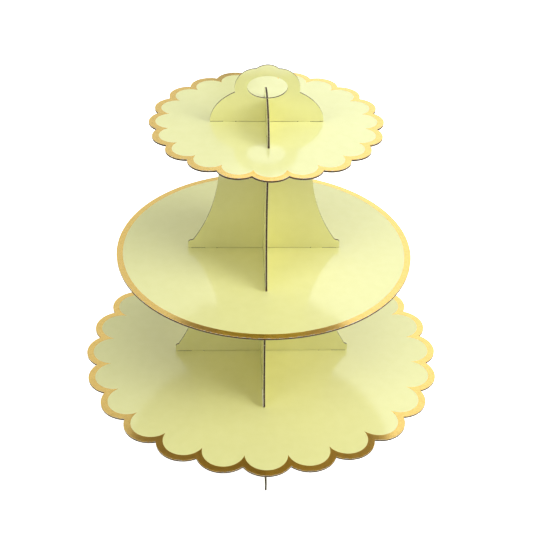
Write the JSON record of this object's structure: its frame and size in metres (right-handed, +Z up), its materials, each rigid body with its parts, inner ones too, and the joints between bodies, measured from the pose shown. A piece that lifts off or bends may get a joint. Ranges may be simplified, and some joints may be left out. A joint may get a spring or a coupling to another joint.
{
  "type": "tiered cake stand",
  "caption": "Tiered cake stand of slot-together board: gold-edged round and scalloped plates carried by crossed panels, with a lobed finger-hole handle.",
  "frame": {"origin": "on the table, on the stand's vertical axis, at the centre of the four feet", "axes": "+Z up the stand; the handle's lobed grip and one panel of every cross lie in the X-Z plane, the other panels in the Y-Z plane; a lobe of each scalloped plate points along -Y"},
  "size_m": [0.329, 0.329, 0.33],
  "materials": {
    "greyboard": "matte",
    "yellow_laminated_paper": "gloss",
    "grey_liner_paper": "matte",
    "gold_foil": "satin"
  },
  "bodies": {
    "base_panel_a": {"base_panel_a_core": "greyboard", "base_panel_a_front_paper": "yellow_laminated_paper", "base_panel_a_back_paper": "yellow_laminated_paper"},
    "base_panel_b": {"base_panel_b_core": "greyboard", "base_panel_b_front_paper": "yellow_laminated_paper", "base_panel_b_back_paper": "yellow_laminated_paper"},
    "bottom_plate": {"bottom_plate_core": "greyboard", "bottom_plate_top_paper": "yellow_laminated_paper", "bottom_plate_underside_paper": "grey_liner_paper", "bottom_plate_gold_border": "gold_foil"},
    "lower_column_panel_a": {"lower_column_panel_a_core": "greyboard", "lower_column_panel_a_front_paper": "yellow_laminated_paper", "lower_column_panel_a_back_paper": "yellow_laminated_paper"},
    "lower_column_panel_b": {"lower_column_panel_b_core": "greyboard", "lower_column_panel_b_front_paper": "yellow_laminated_paper", "lower_column_panel_b_back_paper": "yellow_laminated_paper"},
    "middle_plate": {"middle_plate_core": "greyboard", "middle_plate_top_paper": "yellow_laminated_paper", "middle_plate_underside_paper": "grey_liner_paper", "middle_plate_gold_border": "gold_foil"},
    "upper_column_panel_a": {"upper_column_panel_a_core": "greyboard", "upper_column_panel_a_front_paper": "yellow_laminated_paper", "upper_column_panel_a_back_paper": "yellow_laminated_paper"},
    "upper_column_panel_b": {"upper_column_panel_b_core": "greyboard", "upper_column_panel_b_front_paper": "yellow_laminated_paper", "upper_column_panel_b_back_paper": "yellow_laminated_paper"},
    "top_plate": {"top_plate_core": "greyboard", "top_plate_top_paper": "yellow_laminated_paper", "top_plate_underside_paper": "grey_liner_paper", "top_plate_gold_border": "gold_foil"},
    "handle_rib": {"handle_rib_core": "greyboard", "handle_rib_front_paper": "yellow_laminated_paper", "handle_rib_back_paper": "yellow_laminated_paper"},
    "handle_grip": {"handle_grip_core": "greyboard", "handle_grip_front_paper": "yellow_laminated_paper", "handle_grip_back_paper": "yellow_laminated_paper"}
  },
  "joints": [
    {"name": "base_panel_b_lift", "type": "slide", "parent": "base_panel_a", "child": "base_panel_b", "axis": [0, 0, 1], "range_m": [0, 0.04]},
    {"name": "bottom_plate_lift", "type": "slide", "parent": "base_panel_b", "child": "bottom_plate", "axis": [0, 0, 1], "range_m": [0, 0.015]},
    {"name": "lower_column_panel_a_lift", "type": "slide", "parent": "bottom_plate", "child": "lower_column_panel_a", "axis": [0, 0, 1], "range_m": [0, 0.015]},
    {"name": "lower_column_panel_b_lift", "type": "slide", "parent": "lower_column_panel_a", "child": "lower_column_panel_b", "axis": [0, 0, 1], "range_m": [0, 0.13]},
    {"name": "middle_plate_lift", "type": "slide", "parent": "lower_column_panel_b", "child": "middle_plate", "axis": [0, 0, 1], "range_m": [0, 0.015]},
    {"name": "upper_column_panel_a_lift", "type": "slide", "parent": "middle_plate", "child": "upper_column_panel_a", "axis": [0, 0, 1], "range_m": [0, 0.015]},
    {"name": "upper_column_panel_b_lift", "type": "slide", "parent": "upper_column_panel_a", "child": "upper_column_panel_b", "axis": [0, 0, 1], "range_m": [0, 0.14]},
    {"name": "top_plate_lift", "type": "slide", "parent": "upper_column_panel_b", "child": "top_plate", "axis": [0, 0, 1], "range_m": [0, 0.015]},
    {"name": "handle_rib_lift", "type": "slide", "parent": "top_plate", "child": "handle_rib", "axis": [0, 0, 1], "range_m": [0, 0.015]},
    {"name": "handle_grip_lift", "type": "slide", "parent": "handle_rib", "child": "handle_grip", "axis": [0, 0, 1], "range_m": [0, 0.035]}
  ]
}
